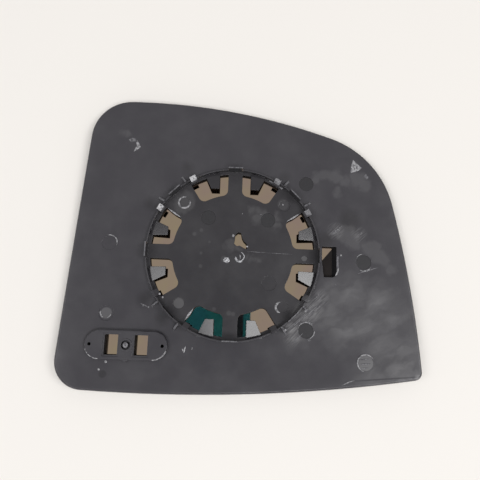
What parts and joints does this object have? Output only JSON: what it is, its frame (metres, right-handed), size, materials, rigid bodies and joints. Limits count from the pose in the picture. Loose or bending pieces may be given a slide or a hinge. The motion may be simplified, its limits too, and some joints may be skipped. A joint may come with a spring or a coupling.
{
  "type": "car door mirror glass",
  "caption": "Convex car door mirror glass bonded to a black moulded backing plate, with a snap-in clip ring on its back and a small raised terminal pad.",
  "frame": {"origin": "On the clip ring's axis, in the plane of its flat seat.", "axes": "+Z points out of the back, away from the mirror's front. +X points right and +Y up as the back is seen."},
  "size_m": [0.1759, 0.1472, 0.012],
  "materials": {
    "black_abs": "fine matt moulding grain, worn and a little dusty",
    "black_adhesive": "matt",
    "mirror_coating": "polished"
  },
  "bodies": {
    "root": {"backing_plate": "black_abs", "adhesive_sheet": "black_adhesive", "mirror_glass": "mirror_coating"}
  },
  "joints": []
}
